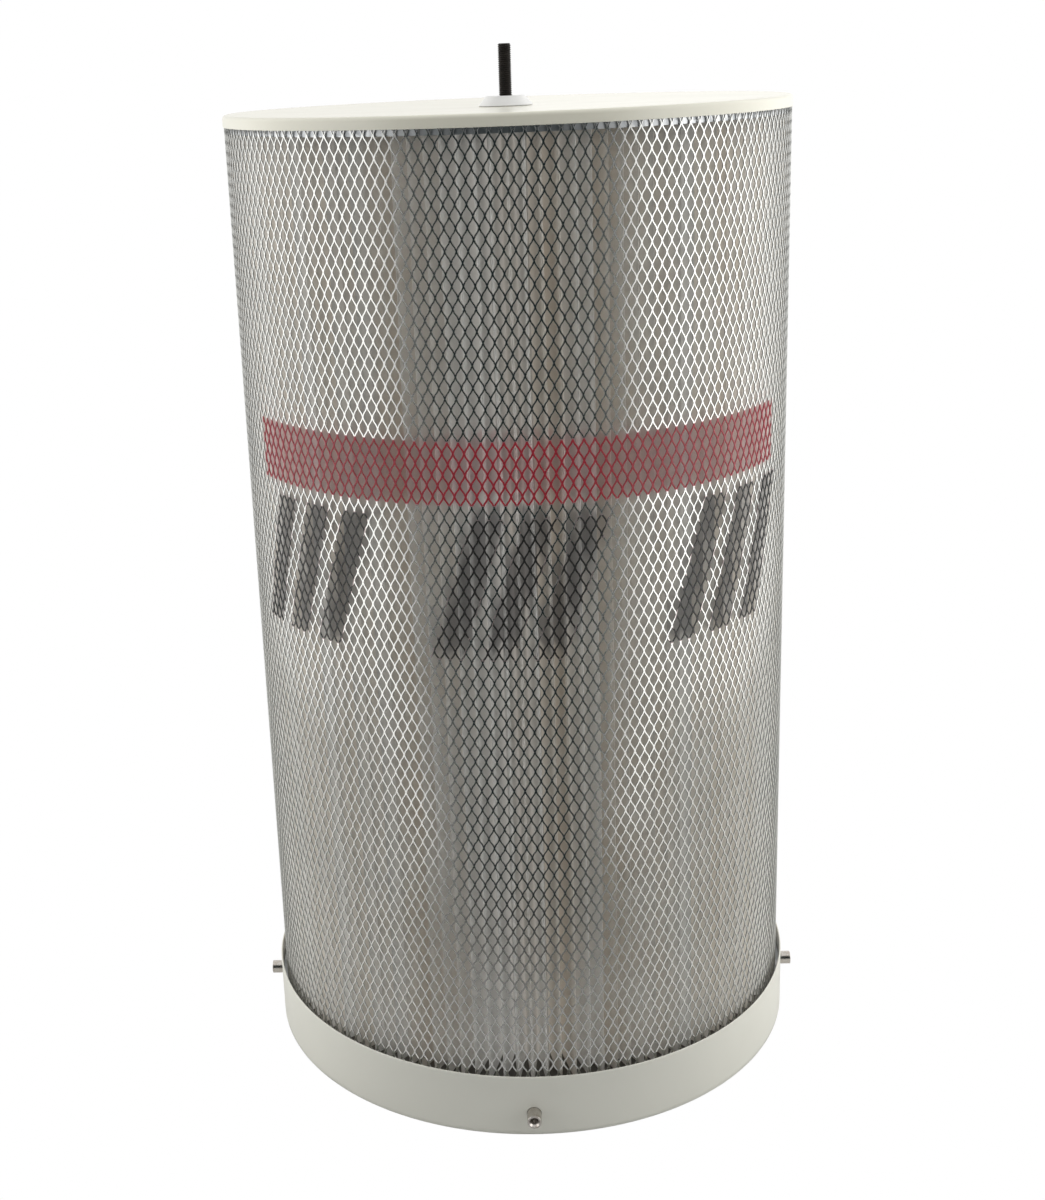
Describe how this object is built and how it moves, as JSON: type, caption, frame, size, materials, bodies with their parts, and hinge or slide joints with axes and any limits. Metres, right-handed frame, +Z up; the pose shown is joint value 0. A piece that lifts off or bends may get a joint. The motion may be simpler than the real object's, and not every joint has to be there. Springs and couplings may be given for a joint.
{
  "type": "dust collector canister filter",
  "caption": "Round pleated canister filter in an expanded metal sleeve, with a painted lid, a clamp ring and a hand-turned pleat cleaner.",
  "frame": {"origin": "centre of the base ring's lower edge, on the axis of the shaft", "axes": "+Z up along the shaft, -Y towards the front clamp boss"},
  "size_m": [0.5366, 0.5366, 0.936],
  "materials": {
    "cream_paint": "smooth glossy baked enamel",
    "galvanised_steel": "satin zinc-coated sheet",
    "spunbond_media": "matt spunbond polyester",
    "urethane_potting": "cast urethane",
    "foam_rubber": "closed-cell foam",
    "white_nylon": "moulded nylon",
    "black_oxide_steel": "black oxide, lightly oiled",
    "zinc_plated_steel": "bright zinc plate",
    "flapper_plastic": "flexible black plastic"
  },
  "bodies": {
    "canister": {"base_ring": "cream_paint", "bottom_bridge": "galvanised_steel", "bridge_rivet_1": "zinc_plated_steel", "bridge_rivet_2": "zinc_plated_steel", "bridge_rivet_3": "zinc_plated_steel", "bridge_rivet_4": "zinc_plated_steel", "cap_hub": "white_nylon", "clamp_boss_back": "zinc_plated_steel", "clamp_boss_front": "zinc_plated_steel", "clamp_boss_left": "zinc_plated_steel", "clamp_boss_right": "zinc_plated_steel", "gasket": "foam_rubber", "lower_bushing": "white_nylon", "lower_end_pan": "galvanised_steel", "lower_potting": "urethane_potting", "outer_mesh": "galvanised_steel", "pleated_media": "spunbond_media", "top_cap": "cream_paint", "upper_bushing": "white_nylon", "upper_end_ring": "galvanised_steel", "upper_potting": "urethane_potting"},
    "agitator": {"agitator_shaft": "black_oxide_steel", "flapper_rail_1": "galvanised_steel", "flapper_rail_2": "galvanised_steel", "flapper_strip_1": "flapper_plastic", "flapper_strip_2": "flapper_plastic", "lower_arm": "galvanised_steel", "lower_arm_nut_above": "zinc_plated_steel", "lower_arm_nut_below": "zinc_plated_steel", "lower_collar": "zinc_plated_steel", "lower_collar_screw": "black_oxide_steel", "rail_bolt_1_bottom": "zinc_plated_steel", "rail_bolt_1_top": "zinc_plated_steel", "rail_bolt_2_bottom": "zinc_plated_steel", "rail_bolt_2_top": "zinc_plated_steel", "rail_nut_1_bottom": "zinc_plated_steel", "rail_nut_1_top": "zinc_plated_steel", "rail_nut_2_bottom": "zinc_plated_steel", "rail_nut_2_top": "zinc_plated_steel", "shaft_lock_nut": "zinc_plated_steel", "shaft_washer": "zinc_plated_steel", "strip_clamp_1": "galvanised_steel", "strip_clamp_2": "galvanised_steel", "strip_screw_1_1": "zinc_plated_steel", "strip_screw_1_2": "zinc_plated_steel", "strip_screw_1_3": "zinc_plated_steel", "strip_screw_2_1": "zinc_plated_steel", "strip_screw_2_2": "zinc_plated_steel", "strip_screw_2_3": "zinc_plated_steel", "upper_arm": "galvanised_steel", "upper_arm_nut_above": "zinc_plated_steel", "upper_arm_nut_below": "zinc_plated_steel", "upper_collar": "zinc_plated_steel", "upper_collar_screw": "black_oxide_steel"}
  },
  "joints": [
    {"name": "agitator_spin", "type": "hinge", "parent": "canister", "child": "agitator", "pos_m": [0, 0, 0], "axis": [0, 0, 1], "continuous": true}
  ]
}
